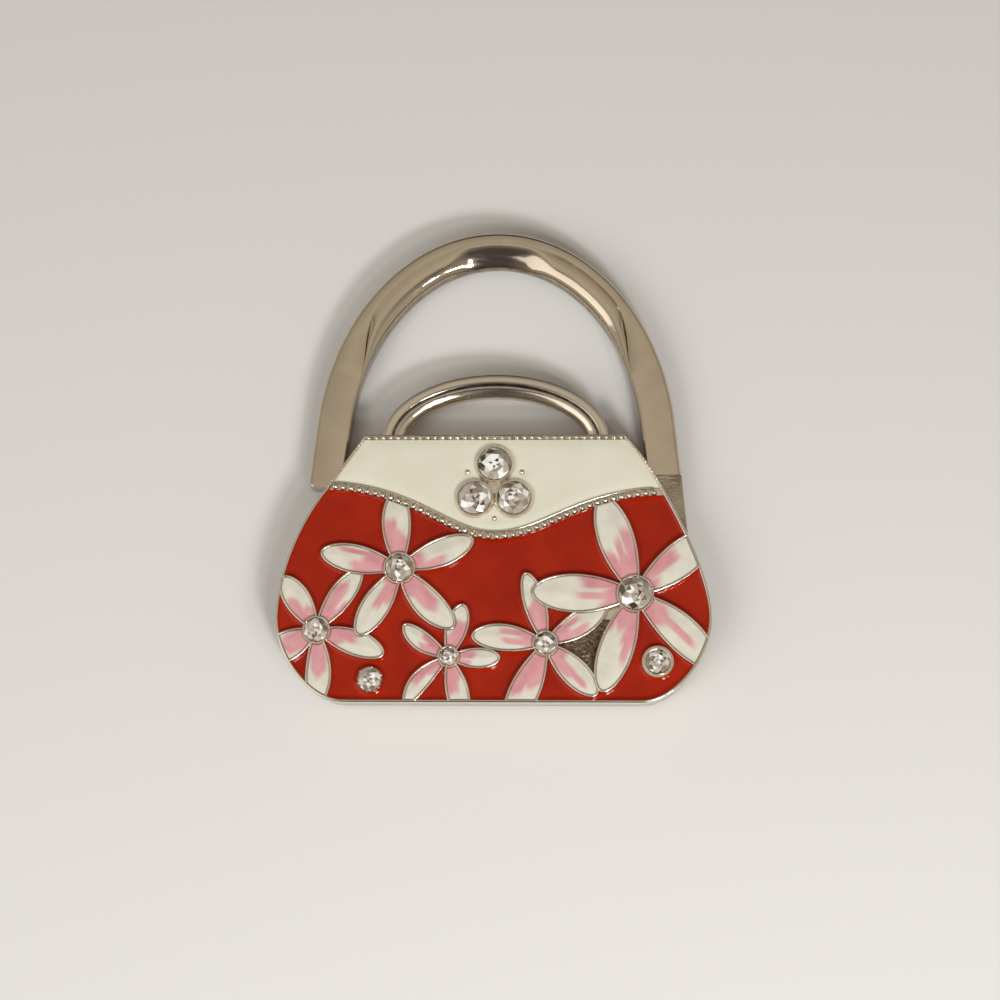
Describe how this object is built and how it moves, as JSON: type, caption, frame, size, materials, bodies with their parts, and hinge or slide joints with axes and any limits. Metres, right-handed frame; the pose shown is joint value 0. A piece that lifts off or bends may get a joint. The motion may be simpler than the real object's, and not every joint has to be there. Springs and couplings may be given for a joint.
{
  "type": "folding purse hook",
  "caption": "Flat handbag-shaped purse hook with enamelled flowers and clear stones, whose arched handle swivels out as the hook.",
  "frame": {"origin": "middle of the footprint, on the surface that the pad rests on", "axes": "+X across the body, +Y towards the crown of the hook, +Z out of the enamelled face"},
  "size_m": [0.052, 0.0586, 0.0065],
  "materials": {
    "nickel_plating": "polished nickel plating on a casting",
    "steel": "plain steel",
    "pad_rubber": "matte rubber",
    "cream_enamel": "glossy cream enamel",
    "red_enamel": "glossy deep red enamel",
    "petal_enamel": "glossy white enamel brushed with pink",
    "crystal": "cut clear stone on foil"
  },
  "bodies": {
    "body": {"face_casting": "nickel_plating", "frame_casting": "nickel_plating", "small_handle": "nickel_plating", "base_pad": "pad_rubber", "pivot_spring": "steel", "flap_enamel": "cream_enamel", "red_enamel_1": "red_enamel", "red_enamel_2": "red_enamel", "red_enamel_3": "red_enamel", "red_enamel_4": "red_enamel", "red_enamel_5": "red_enamel", "red_enamel_6": "red_enamel", "red_enamel_7": "red_enamel", "red_enamel_8": "red_enamel", "red_enamel_9": "red_enamel", "red_enamel_10": "red_enamel", "red_enamel_11": "red_enamel", "red_enamel_12": "red_enamel", "red_enamel_13": "red_enamel", "petal_lower_left_1": "petal_enamel", "petal_lower_left_2": "petal_enamel", "petal_lower_left_3": "petal_enamel", "petal_lower_left_4": "petal_enamel", "petal_lower_left_5": "petal_enamel", "petal_bottom_left_1": "petal_enamel", "petal_bottom_left_2": "petal_enamel", "petal_bottom_left_3": "petal_enamel", "petal_bottom_left_4": "petal_enamel", "petal_bottom_left_5": "petal_enamel", "petal_upper_left_1": "petal_enamel", "petal_upper_left_2": "petal_enamel", "petal_upper_left_3": "petal_enamel", "petal_upper_left_4": "petal_enamel", "petal_upper_left_5": "petal_enamel", "petal_bottom_right_1": "petal_enamel", "petal_bottom_right_2": "petal_enamel", "petal_bottom_right_3": "petal_enamel", "petal_bottom_right_4": "petal_enamel", "petal_bottom_right_5": "petal_enamel", "petal_right_1": "petal_enamel", "petal_right_2": "petal_enamel", "petal_right_3": "petal_enamel", "petal_right_4": "petal_enamel", "petal_right_5": "petal_enamel", "stone_lower_left": "crystal", "stone_bottom_left": "crystal", "stone_upper_left": "crystal", "stone_bottom_right": "crystal", "stone_right": "crystal", "stone_lone_left": "crystal", "stone_lone_right": "crystal", "stone_flap_top": "crystal", "stone_flap_left": "crystal", "stone_flap_right": "crystal"},
    "hook": {"swing_hook": "nickel_plating", "pivot_pin": "steel", "spring_washer": "steel", "pin_clip": "steel"}
  },
  "joints": [
    {"name": "hook_swivel", "type": "hinge", "parent": "body", "child": "hook", "pos_m": [0.0204, -0.0014, 0.0023], "axis": [0, -1, 0], "range_deg": [0, 180]}
  ]
}
